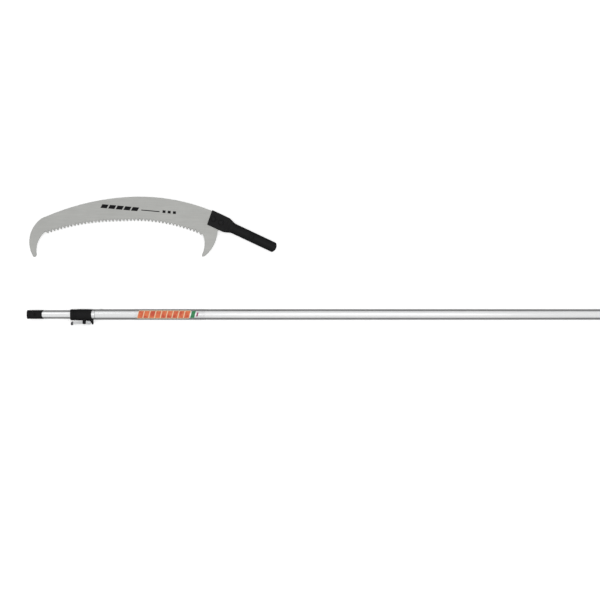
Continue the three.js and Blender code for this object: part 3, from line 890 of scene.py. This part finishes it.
def make_lock_screw():
    x, r = LOCK_SCREW_X, SOCKET_R + GAP
    nut = common(
        hexagon(x, BOLT_FLATS, 9, SOCKET_R + 3.6),
        stack(x, 0, [(8, 6.2), (SOCKET_R + 2.8, 5.6), (SOCKET_R + 3.6, 4.8)]),
    )
    cut(nut, rod_about_x(r, x - 20, x + 20), post(HOLE_R, x, 0, -20, 30))
    soften(nut, 0.15, angle=50)
    piece("lock_nut_piece", nut, HEAD, "saw_head", "socket_paint", MATERIALS["coat"])

    seat = SOCKET_R + 3.9
    levels = threaded(SOCKET_R - SOCKET_WALL + 0.4, seat - 0.6)
    levels += [(seat, 3.0), (seat, 4.7), (seat + 0.3, 5), (seat + 1.4, 5), (seat + 2.1, 4.6),
               (seat + 2.7, 3.8), (seat + 3, 3.0)]
    screw = cut(stack(x, 0, levels), hexagon(x, 4, seat + 0.8, seat + 5))
    piece("lock_screw_piece", screw, HEAD, "saw_head", "black_steel", MATERIALS["black"])


# ---- CAD pieces that keep their own shape ----
KEPT_NODES = {
    "adapter_pin": "zinc",
    "guide_bush": "plastic",
    "brake_shoe": "plastic",
    "shoe_lining": "rubber",
}


def finish_kept_nodes():
    for name, finish in KEPT_NODES.items():
        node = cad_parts[name]
        for holder in node.material_slots:
            holder.material = MATERIALS[finish]
        if not node.material_slots:
            node.data.materials.append(MATERIALS[finish])


# ---- Stage ----
FLOOR_HALF, FLOOR_GLOW = 8.0, 0.5
PALE, DIM = (0.86, 0.86, 0.86), (0.2, 0.2, 0.2)
WORLD_STRENGTH = 0.82


def make_floor():
    """A pale floor, darker and without its glow in reflections, so that tubes get dark edges."""
    half = FLOOR_HALF
    bm = bmesh.new()
    corners = [(-half, -half), (half, -half), (half, half), (-half, half)]
    bm.faces.new([bm.verts.new((x, y, 0)) for x, y in corners])
    floor = new_object(bm)
    floor.name = "floor"
    n = Nodes("floor", PALE, 0.9, specular=0.0)
    n.shader.inputs["Emission Color"].default_value = (1, 1, 1, 1)
    path = n.tree.nodes.new("ShaderNodeLightPath")
    n.color(n.mix(path.outputs["Is Glossy Ray"], PALE, DIM))
    glow = n.span(path.outputs["Is Glossy Ray"], 0, 1, FLOOR_GLOW, 0)
    n.link(glow, n.shader.inputs["Emission Strength"])
    floor.data.materials.append(n.material)


def make_world():
    """Bright overhead and dark near the horizon, but evenly pale where the camera sees it."""
    world = bpy.data.worlds.new("studio")
    bpy.context.scene.world = world
    world.use_nodes = True
    tree = world.node_tree
    background = tree.nodes["Background"]
    place = tree.nodes.new("ShaderNodeTexCoord")
    parts = tree.nodes.new("ShaderNodeSeparateXYZ")
    tree.links.new(place.outputs["Generated"], parts.inputs[0])
    ramp = tree.nodes.new("ShaderNodeValToRGB")
    tree.links.new(parts.outputs["Z"], ramp.inputs["Fac"])
    stops = ramp.color_ramp.elements
    stops[0].position, stops[0].color = 0.02, (0.1, 0.1, 0.105, 1)
    stops[1].position, stops[1].color = 0.36, (1, 1, 1, 1)
    path = tree.nodes.new("ShaderNodeLightPath")
    pale = tree.nodes.new("ShaderNodeMix")
    pale.data_type = "RGBA"
    tree.links.new(path.outputs["Is Camera Ray"], pale.inputs[0])
    tree.links.new(ramp.outputs["Color"], pale.inputs[6])
    pale.inputs[7].default_value = (0.92, 0.92, 0.92, 1)
    tree.links.new(pale.outputs[2], background.inputs["Color"])
    background.inputs["Strength"].default_value = WORLD_STRENGTH


def make_light(name, place, aim, size, power):
    data = bpy.data.lights.new(name, "AREA")
    data.shape = "SQUARE"
    data.size = size
    data.energy = power
    light = bpy.data.objects.new(name, data)
    bpy.context.scene.collection.objects.link(light)
    light.location = place
    light.rotation_euler = (Vector(aim) - Vector(place)).to_track_quat("-Z", "Y").to_euler()
    light.visible_camera = False


VIEW_CENTRE = (0.5244, 0.0347)
VIEW_WIDTH = 1.44
CAMERA_LENS, CAMERA_SENSOR = 150, 36


def make_camera():
    data = bpy.data.cameras.new("camera")
    data.lens = CAMERA_LENS
    data.sensor_width = CAMERA_SENSOR
    data.clip_end = 60
    camera = bpy.data.objects.new("camera", data)
    bpy.context.scene.collection.objects.link(camera)
    distance = VIEW_WIDTH * CAMERA_LENS / CAMERA_SENSOR
    camera.location = (*VIEW_CENTRE, AXIS_Z * MM + distance)
    bpy.context.scene.camera = camera


make_camera()
make_floor()
make_world()
make_light("overhead", (0.5, 0.2, 3.4), (0.5, 0.0, 0), 2.4, 9)
make_light("side", (-1.6, 1.2, 1.6), (0.3, 0.1, 0), 1.0, 3)
bpy.context.scene.view_settings.view_transform = "Standard"

make_tubes()
make_butt_plug()
make_tip_adapter()
make_lock_collar()
make_collar_trim()
make_lever_pin()
make_clamp_lever()
make_blade()
make_socket()
for end, where, carrier in (("front", 0, "head_carrier"), ("rear", REAR_BOLT_X, "saw_head")):
    make_bolt(end + "_bolt", where, carrier)
    make_washer(end + "_washer", where, carrier)
    make_nut(end + "_nut", where, carrier)
make_lock_screw()
finish_kept_nodes()
